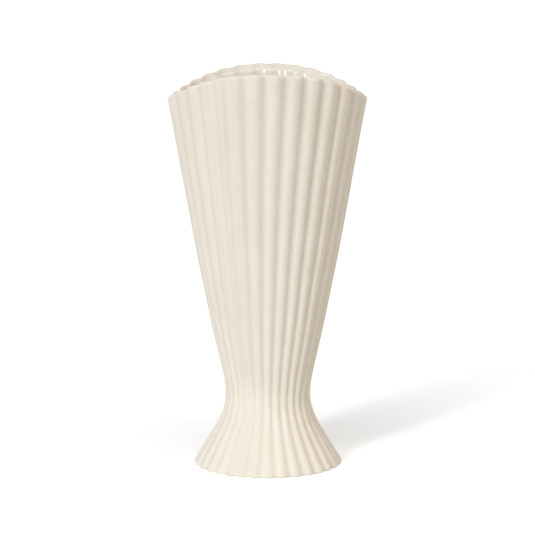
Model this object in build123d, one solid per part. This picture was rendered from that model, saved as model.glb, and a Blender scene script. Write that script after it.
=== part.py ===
from build123d import *

import os
from math import cos, pi, radians, sin, sqrt, tan

# Fluted stoneware vase with an arched rim.
# Millimetres, +Z up, the origin at the middle of the face it stands on.
# The rim rises in an arch at the front (-Y) and the back (+Y) and dips at the two sides.

# Outside of the clay, measured over the ribs, from the foot up
foot_radius = 76.4  # where the flare would meet the table, before its edge is rounded
foot_edge_round = 2.0
flare_angle = 31.5  # lean of the foot's side from upright, in degrees
flare_height = 30.0  # the straight part of the flare ends here
waist_height = 70.5
waist_radius = 42.9
cone_height = 105.0  # the waist's curve has become the cone here
cone_radius = 48.4
cone_lean = 13.3  # degrees from upright where the cone starts
rim_height = 399.5  # top of the lip at the front and the back
rim_radius = 105.3
rim_lean = 11.1  # degrees from upright at the rim

# Lip
arch_rise = 27.0  # how much lower the lip is at the two sides
arch_power = 2.5  # how late the lip falls away from its top; 2 would make a parabola
lip_scallop = 0.5  # how far the lip dips over each groove

# Flutes
flute_count = 32
flute_depth = 0.023  # from rib to groove, as a share of the radius there
rib_share = 0.56  # the part of each flute's width that its rib takes

# Wall, floor and underside
wall = 5.5
floor_thickness = 5.5
floor_round = 8.0  # where the floor turns up into the wall
recess_depth = 2.5
recess_radius = 64.0
recess_draft = 1.5  # how much narrower the recess is at its top

# Glaze coat on the inside
glaze = 0.5

# How finely the wall is drawn: the number of outlines to each stretch of it
edge_count = 2
waist_count = 5
cone_count = 4
lip_count = 4
inside_corner_count = 3
inside_waist_count = 5
inside_cone_count = 4


# Meridian of the outside, over the ribs


class Station:
    """A height on the meridian, with the radius there and its slope against the axis."""

    def __init__(self, height, radius, lean):
        self.height = height
        self.radius = radius
        self.slope = tan(radians(lean))


foot = Station(0.0, foot_radius, -flare_angle)
flare_top = Station(flare_height, foot_radius + flare_height * foot.slope, -flare_angle)
waist = Station(waist_height, waist_radius, 0.0)
cone_start = Station(cone_height, cone_radius, cone_lean)
rim = Station(rim_height, rim_radius, rim_lean)
stations = [foot, flare_top, waist, cone_start, rim]


def meridian(height):
    """Radius and slope of the outside: a cubic from station to station, straight above the last."""
    if height >= rim.height:
        return rim.radius + rim.slope * (height - rim.height), rim.slope
    low, high = next(pair for pair in zip(stations, stations[1:]) if height <= pair[1].height)
    span = high.height - low.height
    rise = high.radius - low.radius
    t = (height - low.height) / span
    bulge = (low.slope * span - rise) * (1 - t) + (rise - high.slope * span) * t
    bulge_growth = 2 * rise - (low.slope + high.slope) * span
    radius = low.radius + rise * t + t * (1 - t) * bulge
    slope = (rise + (1 - 2 * t) * bulge + t * (1 - t) * bulge_growth) / span
    return radius, slope


def wall_radius(height, depth):
    """Radius of the surface that lies a given depth under the outside's ribs."""
    radius, slope = meridian(height)
    return radius - depth * sqrt(1 + slope**2)


def spaced(low, high, count):
    """Even steps from one value to another."""
    return [low + (high - low) * step / (count - 1) for step in range(count)]


class Corner:
    """The rounded corner between a level face and the flare above it, a given depth under the ribs."""

    def __init__(self, level, round_radius, depth):
        lean = radians(flare_angle)
        self.round_radius = round_radius
        self.turns = (-pi / 2, lean)
        self.middle_height = level + round_radius
        self.top = self.middle_height + round_radius * sin(lean)
        self.middle_radius = wall_radius(self.top, depth) - round_radius * cos(lean)

    def at(self, turn):
        """Radius and height at a turn round the corner, from the level face's edge at -90 degrees."""
        out = self.round_radius * cos(turn)
        up = self.round_radius * sin(turn)
        return self.middle_radius + out, self.middle_height + up


# Arch of the rim

lip_half = wall / 2
side_height = rim_height - arch_rise
side_radius = wall_radius(side_height, 0)


def lip_foot(turn, down):
    """Height where the lip's half-round starts: an arch seen from the front, with a dip over each groove."""
    height = side_height
    for _ in range(4):
        across = min(wall_radius(height, 0) * abs(sin(turn)) / side_radius, 1)
        height = rim_height - arch_rise * across**arch_power
    return height - lip_scallop * down - lip_half


# Places on the wall: each function here gives the radius and the height at a turn from the front, and
# at a share of the way down from a rib's crest to the groove beside it


def level(radius, height, share=0.0):
    """A level line round the axis, with flutes of a given share."""
    return lambda turn, down: (radius * (1 - share * down), height)


def up_cone(rise):
    """A line on the outside, at a rise from the cone's level start (0) to the foot of the lip (1)."""

    def place(turn, down):
        height = cone_height + (lip_foot(turn, down) - cone_height) * rise
        return wall_radius(height, 0) * (1 - flute_depth * down), height

    return place


def over_lip(over):
    """A line on the half-round lip, a share of the way over from its outside to its inside."""

    def place(turn, down):
        height = lip_foot(turn, down)
        outside = wall_radius(height, 0) * (1 - flute_depth * down)
        inside = wall_radius(height, wall)
        rise = lip_half * sin(pi * over)
        radius = (outside + inside) / 2 + (outside - inside) / 2 * cos(pi * over) + rim.slope * rise
        return radius, height + rise

    return place


def under_lip(depth):
    """The line on the inside where the lip starts, a given depth under the ribs."""

    def place(turn, down):
        height = lip_foot(turn, down)
        return wall_radius(height, depth), height

    return place


# Lines of points and arcs round the wall

flute_pitch = 2 * pi / flute_count


def spot(place, number, aside):
    """The point at a flute, aside from its rib's crest: 0 on the crest, 1 in the groove after it.

    A groove faces the front.
    """
    turn = (number + 0.5 + aside / 2) * flute_pitch
    radius, height = place(turn, min(abs(aside), 2 - aside))
    return Vector(radius * sin(turn), -radius * cos(turn), height)


def outline(place):
    """A closed line with a rib arc and a groove arc to each flute, tangent to each other."""
    edges = []
    for number in range(flute_count):
        rib = [spot(place, number, aside) for aside in (-rib_share, 0, rib_share)]
        groove = [spot(place, number, aside) for aside in (rib_share, 1, 2 - rib_share)]
        edges += [Edge.make_three_point_arc(*rib), Edge.make_three_point_arc(*groove)]
    return Wire(edges)


def ring(place):
    """The points of a line where its ribs and grooves meet."""
    return [spot(place, number, aside) for number in range(flute_count) for aside in (-rib_share, rib_share)]


# Faces and solids


def ruled_faces(outlines):
    """Faces ruled from each outline to the next."""
    return Shell.make_loft(outlines, ruled=True).faces()


def flat_faces(rings):
    """Flat faces from each ring of points to the next."""
    faces = []
    for low, high in zip(rings, rings[1:]):
        for number in range(len(low)):
            corners = [low[number - 1], low[number], high[number], high[number - 1]]
            faces.append(Face(Wire.make_polygon(corners)))
    return faces


def inside_faces(depth, floor, round_radius):
    """Faces of the inside, a given depth under the ribs, from its floor up to the lip."""
    corner = Corner(floor, round_radius, depth)
    heights = spaced(corner.top, cone_height, inside_waist_count)
    heights += spaced(cone_height, inside_cone_top, inside_cone_count)[1:]
    rings = [ring(level(*corner.at(turn))) for turn in spaced(*corner.turns, inside_corner_count)[:-1]]
    rings += [ring(level(wall_radius(height, depth), height)) for height in heights]
    mouth = [Wire.make_polygon(points) for points in (rings[-1], ring(under_lip(depth)))]
    return [Face(Wire.make_polygon(rings[0]))] + flat_faces(rings) + ruled_faces(mouth)


def underside_faces(edge):
    """Faces of the foot ring and of the shallow recess inside it."""
    low = Wire.make_circle(recess_radius)
    high = Wire.make_circle(recess_radius - recess_draft, Plane.XY.offset(recess_depth))
    return [Face(edge, [low])] + ruled_faces([low, high]) + [Face(high)]


def closed_solid(faces):
    """The solid that a closed set of faces bounds."""
    return Solid(Shell(faces))


# Sub-parts

floor_top = recess_depth + floor_thickness
inside_cone_top = side_height - 4 * wall  # the inside's level rings end here


def stoneware_body():
    """The fired clay: foot ring, flared foot, waist, fluted cone and half-round lip."""
    corner = Corner(0.0, foot_edge_round, 0)
    places = [level(*corner.at(turn), flute_depth) for turn in spaced(*corner.turns, edge_count)]
    for height in spaced(flare_height, cone_height, waist_count)[:-1]:
        places.append(level(wall_radius(height, 0), height, flute_depth))
    places += [up_cone(rise) for rise in spaced(0, 1, cone_count)[:-1]]
    places += [over_lip(over) for over in spaced(0, 1, lip_count)[:-1]]
    outlines = [outline(place) for place in places]
    lip_inside = Wire.make_polygon(ring(over_lip(1)))
    faces = ruled_faces(outlines + [lip_inside])
    faces += inside_faces(wall, floor_top, floor_round)
    return closed_solid(faces + underside_faces(outlines[0]))


def inner_glaze():
    """The glaze coat on the clay's inside, from the floor up to the foot of the lip."""
    faces = inside_faces(wall, floor_top, floor_round)
    faces += inside_faces(wall + glaze, floor_top + glaze, floor_round - glaze)
    end = [Wire.make_polygon(ring(under_lip(depth))) for depth in (wall, wall + glaze)]
    return closed_solid(faces + ruled_faces(end))


# Build

os.makedirs("parts", exist_ok=True)
for make in (stoneware_body, inner_glaze):
    export_step(make(), f"parts/{make.__name__}.step")
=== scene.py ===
from math import cos, pi, radians, remainder, sin, sqrt, tan

import bpy
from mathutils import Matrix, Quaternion, Vector, noise


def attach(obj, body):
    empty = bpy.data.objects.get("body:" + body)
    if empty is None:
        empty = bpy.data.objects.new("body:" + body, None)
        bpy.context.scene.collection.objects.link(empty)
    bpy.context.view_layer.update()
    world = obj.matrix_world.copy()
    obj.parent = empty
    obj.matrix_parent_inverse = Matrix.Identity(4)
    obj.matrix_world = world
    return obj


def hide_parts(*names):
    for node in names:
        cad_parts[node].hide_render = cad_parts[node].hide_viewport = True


# Fluted stoneware vase with an arched rim, dressed for the photograph.
# Metres, +Z up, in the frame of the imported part; the front faces -Y.

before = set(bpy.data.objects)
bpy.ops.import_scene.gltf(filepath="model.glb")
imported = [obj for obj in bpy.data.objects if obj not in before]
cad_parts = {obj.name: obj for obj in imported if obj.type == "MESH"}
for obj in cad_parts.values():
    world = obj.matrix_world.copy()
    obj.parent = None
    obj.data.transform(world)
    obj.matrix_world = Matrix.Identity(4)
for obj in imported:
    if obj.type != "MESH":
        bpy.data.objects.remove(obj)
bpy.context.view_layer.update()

# Outside of the clay, measured over the ribs, from the foot up
foot_radius = 0.0764  # where the flare would meet the table, before its edge is rounded
foot_edge_round = 0.002
flare_angle = 31.5  # lean of the foot's side from upright, in degrees
flare_height = 0.030  # the straight part of the flare ends here
waist_height = 0.0705
waist_radius = 0.0429
cone_height = 0.105  # the waist's curve has become the cone here
cone_radius = 0.0484
cone_lean = 13.3  # degrees from upright where the cone starts
rim_height = 0.3995  # top of the lip at the front and the back
rim_radius = 0.1053
rim_lean = 11.1  # degrees from upright at the rim

# Lip
arch_rise = 0.027  # how much lower the lip is at the two sides
arch_power = 2.4  # how late the lip falls away from its top; 2 would make a parabola
arch_rounds = 4  # rounds of working out the arch, since the wall's radius depends on its height
front_lift = 0.1  # the front lip falls as if it were this share nearer to the middle
lip_scallop = 0.0005  # how far the lip dips over each groove
lip_round = 0.0038  # height of the lip's rounding

# Flutes
flute_count = 32
flute_depth = 0.030  # on the outside, from rib to groove, as a share of the radius there
inside_flute_depth = 0.016  # on the inside, at the lip
inside_flute_end = 0.100  # the inside's flutes fade out towards this height
rib_share = 0.56  # the part of each flute's width that its rib takes

# Wall, floor and underside
wall = 0.0055
floor_thickness = 0.0055
floor_round = 0.008  # where the floor turns up into the wall
recess_depth = 0.0025
recess_radius = 0.064
recess_draft = 0.0015  # how much narrower the recess is at its top
recess_ease = 0.0004  # how far the recess's corners are eased
glaze = 0.0005  # thickness of the coat on the inside

# Unevenness of a piece that was cast and finished by hand
wobble = 0.00025  # the wall moves in and out by up to about this much
wobble_length = 0.055  # the width of such a movement
wobble_radius = 0.075  # the movements are drawn round a cylinder of this radius
wobble_fade = 0.02  # they fade out below this height
sway = radians(0.22)  # the flutes lean to and fro by up to about this much
sway_pattern = Vector((11.0, 0.0, 0.0))  # sets the leaning apart from the wall's movement
flute_twist = radians(-4.5)  # how far the flutes run round from the rim down to the waist
flute_drift = radians(3.0)  # how far the flutes on the left front are off an even spacing
drift_middle = radians(-48)  # the turn where they are off most
drift_reach = radians(38)  # how far round to either side they are off
lip_wobble = 0.0004  # the lip moves up and down by up to about this much
lip_waves = 3.0  # how closely the lip's movements follow each other
lip_pattern = 7.0  # sets the lip's movement apart from the others

# How finely the surfaces are drawn: the number of lines to each stretch
columns_per_flute = 16
columns = flute_count * columns_per_flute
edge_count = 8
flare_count = 10
waist_count = 34
cone_count = 80
lip_count = 17
inside_corner_count = 8
inside_waist_count = 26
inside_cone_count = 60
floor_shares = (0.0, 0.3, 0.65)  # lines on the inside's floor, as shares of its radius
recess_shares = (0.0, 0.4, 0.8)  # lines on the recess's top, as shares of its radius

# Colours
white = (1, 1, 1, 1)
black = (0, 0, 0, 1)
clay_dark = (0.835, 0.770, 0.668, 1)
clay_light = (0.865, 0.802, 0.702, 1)
speck_colour = (0.42, 0.34, 0.25, 1)
glaze_dark = (0.80, 0.745, 0.655, 1)
glaze_light = (0.83, 0.775, 0.685, 1)
floor_colour = (0.95, 0.95, 0.95, 1)

# Floor, with painted brightness seen only directly, above what its light makes it
floor_half = 30.0  # half of its width
glow_start = 0.20  # the painted brightness starts to grow this far from the vase's axis, fading the far part of the cast shadow
glow_end = 0.55  # and is at its full strength here
glow_near = 0.44
glow_far = 0.60

# Key light: a tall strip at the left front, made of lamps one above the other; angles in degrees
key_count = 3
key_azimuth = -31
key_lowest = 8
key_step = 13
key_spread = 9
key_energy = 0.66

# Camera
camera_azimuth = 0.4  # degrees round from the front
camera_distance = 2.235
camera_height = 0.526
camera_aim = Vector((-0.0002, 0.0, 0.1998))
camera_roll = -0.12  # degrees
lens = 151.0  # millimetres
sensor = 36.0  # millimetres
sight_end = 100.0


# Meridian of the outside


class Station:
    """A height on the meridian, with the radius there and its slope against the axis."""

    def __init__(self, height, radius, lean):
        self.height = height
        self.radius = radius
        self.slope = tan(radians(lean))


foot = Station(0.0, foot_radius, -flare_angle)
flare_top = Station(flare_height, foot_radius + flare_height * foot.slope, -flare_angle)
waist = Station(waist_height, waist_radius, 0.0)
cone_start = Station(cone_height, cone_radius, cone_lean)
rim = Station(rim_height, rim_radius, rim_lean)
stations = [foot, flare_top, waist, cone_start, rim]


def meridian(height):
    """Radius and slope of the outside: a cubic from station to station, straight above the last."""
    if height >= rim.height:
        return rim.radius + rim.slope * (height - rim.height), rim.slope
    low, high = next(pair for pair in zip(stations, stations[1:]) if height <= pair[1].height)
    span = high.height - low.height
    rise = high.radius - low.radius
    along = (height - low.height) / span
    bulge = (low.slope * span - rise) * (1 - along) + (rise - high.slope * span) * along
    bulge_growth = 2 * rise - (low.slope + high.slope) * span
    radius = low.radius + rise * along + along * (1 - along) * bulge
    slope = (rise + (1 - 2 * along) * bulge + along * (1 - along) * bulge_growth) / span
    return radius, slope


def wall_radius(height, depth):
    """Radius of the surface that lies a given depth under the outside's ribs."""
    radius, slope = meridian(height)
    return radius - depth * sqrt(1 + slope**2)


def spaced(low, high, count):
    """Even steps from one value to another."""
    return [low + (high - low) * step / (count - 1) for step in range(count)]


class Corner:
    """The rounded corner between a level face and the flare above it, a given depth under the ribs."""

    def __init__(self, level_height, round_radius, depth):
        lean = radians(flare_angle)
        self.round_radius = round_radius
        self.turns = (-pi / 2, lean)
        self.middle_height = level_height + round_radius
        self.top = self.middle_height + round_radius * sin(lean)
        self.middle_radius = wall_radius(self.top, depth) - round_radius * cos(lean)

    def at(self, turn):
        """Radius and height at a turn round the corner, from the level face's edge at -90 degrees."""
        out = self.round_radius * cos(turn)
        up = self.round_radius * sin(turn)
        return self.middle_radius + out, self.middle_height + up


# Flutes and arch

side_height = rim_height - arch_rise
side_radius = wall_radius(side_height, 0)


def down_flute(turn):
    """Share of the way down from a rib's crest to the groove beside it; a groove faces the front."""
    number = turn * flute_count / (2 * pi) + 0.5
    aside = 2 * abs(number - round(number))
    if aside < rib_share:
        return aside**2 / rib_share
    return 1 - (1 - aside) ** 2 / (1 - rib_share)


def lip_foot(turn, down):
    """Height where the lip's rounding starts: an arch seen from the front, with a dip over each groove."""
    height = side_height
    narrowing = 1 - front_lift * max(cos(turn), 0.0)
    for _ in range(arch_rounds):
        across = min(wall_radius(height, 0) * abs(sin(turn)) * narrowing / side_radius, 1.0)
        height = rim_height - arch_rise * across**arch_power
    spot = Vector((lip_waves * sin(turn), lip_waves * cos(turn), lip_pattern))
    return height - lip_scallop * down - lip_round + lip_wobble * noise.noise(spot)


# Places on the wall: each function here gives the radius and the height at a turn from the front, and
# at a share of the way down from a rib's crest to the groove beside it


def level(radius, height, share=0.0):
    """A level line round the axis, with flutes of a given share."""
    return lambda turn, down: (radius * (1 - share * down), height)


def up_cone(rise):
    """A line on the outside, at a rise from the cone's level start (0) to the foot of the lip (1)."""

    def place(turn, down):
        height = cone_height + (lip_foot(turn, down) - cone_height) * rise
        return wall_radius(height, 0) * (1 - flute_depth * down), height

    return place


def inside_share(height):
    """Depth of the inside's flutes at a height."""
    along = (height - inside_flute_end) / (side_height - inside_flute_end)
    return inside_flute_depth * min(max(along, 0.0), 1.0)


def up_inside(rise, depth):
    """A line on the inside, at a rise from the cone's level start (0) to the foot of the lip (1)."""

    def place(turn, down):
        height = cone_height + (lip_foot(turn, down) - cone_height) * rise
        return wall_radius(height, depth) * (1 - inside_share(height) * down), height

    return place


def over_lip(over):
    """A line on the rounded lip, a share of the way over from its outside to its inside."""

    def place(turn, down):
        outside, height = up_cone(1)(turn, down)
        inside, height = up_inside(1, wall)(turn, down)
        rise = lip_round * sin(pi * over)
        radius = (outside + inside) / 2 + (outside - inside) / 2 * cos(pi * over) + rim.slope * rise
        return radius, height + rise

    return place


# Lines of the outside, the inside, the underside and the lip

floor_top = recess_depth + floor_thickness


def outside_lines():
    """From the edge of the foot up to the lip's start."""
    corner = Corner(0.0, foot_edge_round, 0)
    lines = [level(*corner.at(turn), flute_depth) for turn in spaced(*corner.turns, edge_count)]
    heights = spaced(corner.top, flare_height, flare_count)[1:]
    heights += spaced(flare_height, cone_height, waist_count)[1:-1]
    lines += [level(wall_radius(height, 0), height, flute_depth) for height in heights]
    return lines + [up_cone(rise) for rise in spaced(0, 1, cone_count)]


def inside_lines(depth):
    """From the middle of the floor up to the lip's start, a given depth under the ribs."""
    coat = depth - wall
    corner = Corner(floor_top + coat, floor_round - coat, depth)
    lines = [level(corner.middle_radius * share, floor_top + coat) for share in floor_shares]
    lines += [level(*corner.at(turn)) for turn in spaced(*corner.turns, inside_corner_count)]
    heights = spaced(corner.top, cone_height, inside_waist_count)[1:-1]
    lines += [level(wall_radius(height, depth), height) for height in heights]
    return lines + [up_inside(rise, depth) for rise in spaced(0, 1, inside_cone_count)]


def underside_lines():
    """From the middle of the recess to the foot ring's inner edge, with its two corners eased."""
    top_radius = recess_radius - recess_draft
    lines = [level(top_radius * share, recess_depth) for share in recess_shares]
    lines += [level(top_radius - recess_ease, recess_depth), level(top_radius, recess_depth - recess_ease)]
    return lines + [level(recess_radius, recess_ease), level(recess_radius + recess_ease, 0.0)]


def lip_lines():
    """Over the lip from its outside to its inside, without its two ends."""
    return [over_lip(over) for over in spaced(0, 1, lip_count)[1:-1]]


# Meshes


def uneven(turn, height):
    """Turn of the flutes and small swelling of the wall at a place."""
    spot = Vector((sin(turn), -cos(turn), 0.0)) * wobble_radius + Vector((0.0, 0.0, height))
    fade = min(height / wobble_fade, 1.0)
    drop = min((rim_height - height) / (rim_height - waist_height), 1.0)
    waver = sway * fade * noise.noise(spot / wobble_length + sway_pattern)
    away = min(abs(remainder(turn - drift_middle, 2 * pi)) / drift_reach, 1.0)
    drift = flute_drift * cos(away * pi / 2) ** 2
    lean = flute_twist * drop + drift + waver
    swell = wobble * fade * noise.noise(spot / wobble_length)
    return lean, swell


def closed_mesh(name, lines):
    """A closed mesh over a row of lines round the axis, the first and the last a point on the axis."""
    vertices = []
    for place in lines[1:-1]:
        for column in range(columns):
            turn = 2 * pi * column / columns
            radius, height = place(turn, down_flute(turn))
            lean, swell = uneven(turn, height)
            turn += lean
            radius += swell
            vertices.append((radius * sin(turn), -radius * cos(turn), height))
    faces = []
    rows = len(lines) - 2
    for row in range(rows - 1):
        for column in range(columns):
            after = (column + 1) % columns
            low, high = row * columns, (row + 1) * columns
            faces.append((low + column, low + after, high + after, high + column))
    for place, row, flip in ((lines[0], 0, True), (lines[-1], rows - 1, False)):
        centre = len(vertices)
        vertices.append((0.0, 0.0, place(0.0, 0.0)[1]))
        for column in range(columns):
            pair = (row * columns + column, row * columns + (column + 1) % columns)
            faces.append((pair[1], pair[0], centre) if flip else (pair[0], pair[1], centre))
    mesh = bpy.data.meshes.new(name)
    mesh.from_pydata(vertices, [], faces)
    mesh.shade_smooth()
    piece = bpy.data.objects.new(name, mesh)
    bpy.context.scene.collection.objects.link(piece)
    return piece


def clay_piece():
    """The fired clay, from the recess under the foot over the lip to the floor inside."""
    inside = inside_lines(wall)
    return closed_mesh("fluted_clay", underside_lines() + outside_lines() + lip_lines() + inside[::-1])


def glaze_piece():
    """The glaze coat, up the clay's inside and back down on its open side."""
    return closed_mesh("glaze_coat", inside_lines(wall) + inside_lines(wall + glaze)[::-1])


# Materials


def new_material(name):
    """A node material, its tree and its Principled shader."""
    material = bpy.data.materials.new(name)
    material.use_nodes = True
    tree = material.node_tree
    return material, tree, tree.nodes["Principled BSDF"]


def add(tree, kind, **values):
    """A node of a kind, with its inputs set by name (underscores stand for spaces)."""
    node = tree.nodes.new(kind)
    for name, value in values.items():
        node.inputs[name.replace("_", " ")].default_value = value
    return node


def combined(tree, operation, first, second):
    """The outcome of a math operation on two values."""
    node = tree.nodes.new("ShaderNodeMath")
    node.operation = operation
    tree.links.new(first, node.inputs[0])
    tree.links.new(second, node.inputs[1])
    return node.outputs["Value"]


def ramp(tree, factor, low, high, low_colour, high_colour):
    """A colour that goes from one to another as a factor passes between two values."""
    node = tree.nodes.new("ShaderNodeValToRGB")
    node.color_ramp.elements[0].position = low
    node.color_ramp.elements[0].color = low_colour
    node.color_ramp.elements[1].position = high
    node.color_ramp.elements[1].color = high_colour
    tree.links.new(factor, node.inputs["Fac"])
    return node.outputs["Color"]


def stoneware_material():
    """Matte off-white clay with faint clouds, fine grain and a few iron specks."""
    material, tree, shader = new_material("stoneware")
    link = tree.links.new
    spot = tree.nodes.new("ShaderNodeTexCoord").outputs["Object"]
    clouds = add(tree, "ShaderNodeTexNoise", Scale=28.0, Detail=3.0, Roughness=0.55)
    link(spot, clouds.inputs["Vector"])
    clay = ramp(tree, clouds.outputs["Fac"], 0.35, 0.65, clay_dark, clay_light)
    specks = add(tree, "ShaderNodeTexVoronoi", Scale=95.0, Randomness=1.0)
    link(spot, specks.inputs["Vector"])
    rare = tree.nodes.new("ShaderNodeSeparateColor")
    link(specks.outputs["Color"], rare.inputs["Color"])
    near = ramp(tree, specks.outputs["Distance"], 0.03, 0.075, white, black)
    chosen = ramp(tree, rare.outputs["Red"], 0.980, 0.990, black, white)
    colour = tree.nodes.new("ShaderNodeMix")
    colour.data_type = "RGBA"
    colour.inputs["B"].default_value = speck_colour
    link(combined(tree, "MULTIPLY", near, chosen), colour.inputs["Factor"])
    link(clay, colour.inputs["A"])
    link(colour.outputs["Result"], shader.inputs["Base Color"])
    grain = add(tree, "ShaderNodeTexNoise", Scale=900.0, Detail=2.0)
    link(spot, grain.inputs["Vector"])
    bump = add(tree, "ShaderNodeBump", Strength=0.12, Distance=0.0002)
    link(grain.outputs["Fac"], bump.inputs["Height"])
    link(bump.outputs["Normal"], shader.inputs["Normal"])
    shader.inputs["Roughness"].default_value = 0.6
    shader.inputs["Specular IOR Level"].default_value = 0.25
    return material


def glaze_material():
    """Glossy off-white glaze with a faint pooling of colour."""
    material, tree, shader = new_material("glaze")
    link = tree.links.new
    spot = tree.nodes.new("ShaderNodeTexCoord").outputs["Object"]
    clouds = add(tree, "ShaderNodeTexNoise", Scale=22.0, Detail=2.0)
    link(spot, clouds.inputs["Vector"])
    colour = ramp(tree, clouds.outputs["Fac"], 0.35, 0.65, glaze_dark, glaze_light)
    link(colour, shader.inputs["Base Color"])
    shader.inputs["Roughness"].default_value = 0.12
    shader.inputs["Specular IOR Level"].default_value = 0.6
    return material


# Dressed pieces

for piece, node, slot, material in (
    (clay_piece(), "stoneware_body", "stoneware", stoneware_material()),
    (glaze_piece(), "inner_glaze", "glaze", glaze_material()),
):
    piece.data.materials.append(material)
    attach(piece, "root")
    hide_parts(node)


# Stage: pale floor, white surroundings, lamps and camera


def seen_directly(tree):
    """1 for rays from the camera, and for mirrored and refracted ones; 0 for the rays that carry light."""
    path = tree.nodes.new("ShaderNodeLightPath")
    total = path.outputs["Is Camera Ray"]
    for name in ("Is Glossy Ray", "Is Transmission Ray"):
        total = combined(tree, "MAXIMUM", total, path.outputs[name])
    return total


def floor_piece():
    """A level floor that keeps the shadow near the foot; painted brightness, seen only directly, makes it
    white where it is lit and grows away from the vase, fading the far part of the shadow.
    """
    mesh = bpy.data.meshes.new("floor")
    corners = [(x * floor_half, y * floor_half, 0) for x, y in ((-1, -1), (1, -1), (1, 1), (-1, 1))]
    mesh.from_pydata(corners, [], [(0, 1, 2, 3)])
    floor = bpy.data.objects.new("floor", mesh)
    bpy.context.scene.collection.objects.link(floor)
    material, tree, shader = new_material("pale_floor")
    shader.inputs["Base Color"].default_value = floor_colour
    shader.inputs["Roughness"].default_value = 1.0
    shader.inputs["Specular IOR Level"].default_value = 0.0
    shader.inputs["Emission Color"].default_value = white
    away = tree.nodes.new("ShaderNodeVectorMath")
    away.operation = "LENGTH"
    tree.links.new(tree.nodes.new("ShaderNodeTexCoord").outputs["Object"], away.inputs[0])
    # painted brightness for directly seen rays, growing with distance from the vase's axis
    glow = add(
        tree, "ShaderNodeMapRange", From_Min=glow_start, From_Max=glow_end, To_Min=glow_near, To_Max=glow_far
    )
    tree.links.new(away.outputs["Value"], glow.inputs["Value"])
    lift = combined(tree, "MULTIPLY", seen_directly(tree), glow.outputs["Result"])
    tree.links.new(lift, shader.inputs["Emission Strength"])
    mesh.materials.append(material)


def surroundings():
    """White where they are seen, and without light of their own."""
    world = bpy.data.worlds.new("surroundings")
    bpy.context.scene.world = world
    world.use_nodes = True
    tree = world.node_tree
    backdrop = tree.nodes["Background"]
    backdrop.inputs["Color"].default_value = white
    tree.links.new(seen_directly(tree), backdrop.inputs["Strength"])


def lamp(name, azimuth, elevation, spread, energy, colour):
    """A lamp far off: its place as degrees round from the front and degrees up, its width in degrees."""
    light = bpy.data.lights.new(name, "SUN")
    light.angle = radians(spread)
    light.energy = energy
    light.color = colour
    piece = bpy.data.objects.new(name, light)
    bpy.context.scene.collection.objects.link(piece)
    turn, rise = radians(azimuth), radians(elevation)
    place = Vector((sin(turn) * cos(rise), -cos(turn) * cos(rise), sin(rise)))
    piece.rotation_euler = place.to_track_quat("Z", "Y").to_euler()


def lamps():
    """The key light, a broad lamp above, a cool card at the left and a warm one at the right."""
    for step in range(key_count):
        elevation = key_lowest + key_step * step
        lamp(f"key_lamp_{step}", key_azimuth, elevation, key_spread, key_energy, white[:3])
    lamp("top_lamp", azimuth=10, elevation=64, spread=55, energy=1.07, colour=(0.95, 1.0, 1.0))
    lamp("left_card", azimuth=-125, elevation=5, spread=60, energy=0.70, colour=(0.80, 0.91, 1.0))
    lamp("right_card", azimuth=98, elevation=8, spread=60, energy=1.48, colour=(1.0, 0.80, 0.64))


def camera():
    """The photograph's view: a long lens in front of the vase, looking slightly down."""
    data = bpy.data.cameras.new("camera")
    data.sensor_width = sensor
    data.lens = lens
    data.clip_end = sight_end
    piece = bpy.data.objects.new("camera", data)
    bpy.context.scene.collection.objects.link(piece)
    turn = radians(camera_azimuth)
    piece.location = (camera_distance * sin(turn), -camera_distance * cos(turn), camera_height)
    roll = Quaternion((0.0, 0.0, 1.0), radians(camera_roll))
    piece.rotation_euler = ((piece.location - camera_aim).to_track_quat("Z", "Y") @ roll).to_euler()
    bpy.context.scene.camera = piece


floor_piece()
surroundings()
lamps()
camera()
bpy.context.scene.view_settings.view_transform = "Standard"
